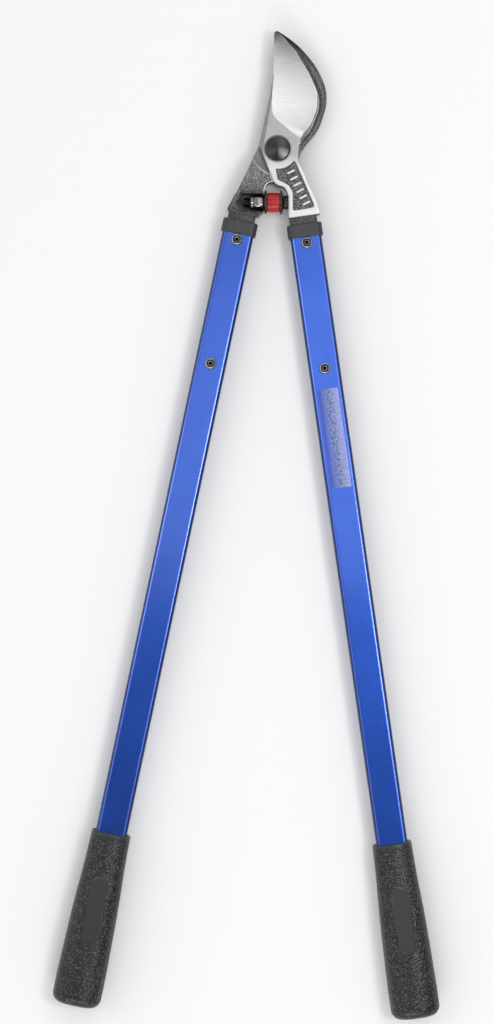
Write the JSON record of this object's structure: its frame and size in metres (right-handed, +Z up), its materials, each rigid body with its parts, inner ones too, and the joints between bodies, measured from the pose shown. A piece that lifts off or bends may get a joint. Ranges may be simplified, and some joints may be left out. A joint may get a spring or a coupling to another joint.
{
  "type": "lopper",
  "caption": "Long-handled bypass lopper: a curved blade passes a hooked counter blade on a pivot bolt, with tube handles, moulded grips and a cushioned stop.",
  "frame": {"origin": "on the pivot's axis, at the end face of the pivot bolt, on the surface that the tool lies on", "axes": "+Z up, along the pivot, out of the blade's front; +Y to the blade's tip; +X to the right handle"},
  "size_m": [0.319, 0.8158, 0.034],
  "materials": {
    "forged_steel": "dark forged skin with bright ground edges",
    "ground_steel": "ground and polished steel",
    "black_steel": "black oxide",
    "zinc_steel": "zinc plated",
    "dark_chrome": "dark bright plating",
    "bright_screw": "bright plated",
    "bronze": "plain bearing bronze",
    "blue_tube": "blue coated, semi-gloss",
    "ferrule_plastic": "moulded, matte",
    "grip_vinyl": "pebbled vinyl",
    "red_urethane": "smooth, semi-gloss",
    "label_film": null
  },
  "bodies": {
    "hook_side": {"hook_arm": "forged_steel", "pivot_bolt": "black_steel", "pivot_nut": "zinc_steel", "pivot_washer": "zinc_steel", "left_ferrule": "ferrule_plastic", "left_tube": "blue_tube", "left_upper_screw": "bright_screw", "left_upper_nut": "zinc_steel", "left_lower_screw": "bright_screw", "left_lower_nut": "zinc_steel", "left_grip": "grip_vinyl", "bumper_inner_washer": "black_steel", "bumper_pad": "red_urethane"},
    "stop_plunger": {"bumper_bolt": "black_steel", "bumper_outer_washer": "black_steel", "bumper_nut": "dark_chrome"},
    "blade_side": {"blade_arm": "ground_steel", "pivot_bushing": "bronze", "right_ferrule": "ferrule_plastic", "right_tube": "blue_tube", "right_upper_screw": "bright_screw", "right_upper_nut": "zinc_steel", "right_lower_screw": "bright_screw", "right_lower_nut": "zinc_steel", "right_grip": "grip_vinyl", "tube_label": "label_film"}
  },
  "joints": [
    {"name": "pivot", "type": "hinge", "parent": "hook_side", "child": "blade_side", "pos_m": [0, 0, 0.017], "axis": [0, 0, 1], "range_deg": [0, 50]},
    {"name": "stop_squeeze", "type": "slide", "parent": "hook_side", "child": "stop_plunger", "axis": [-1, 0, 0], "range_m": [0, 0.0015], "stiffness_N_per_m": 30000, "deforming": ["bumper_pad"]}
  ]
}
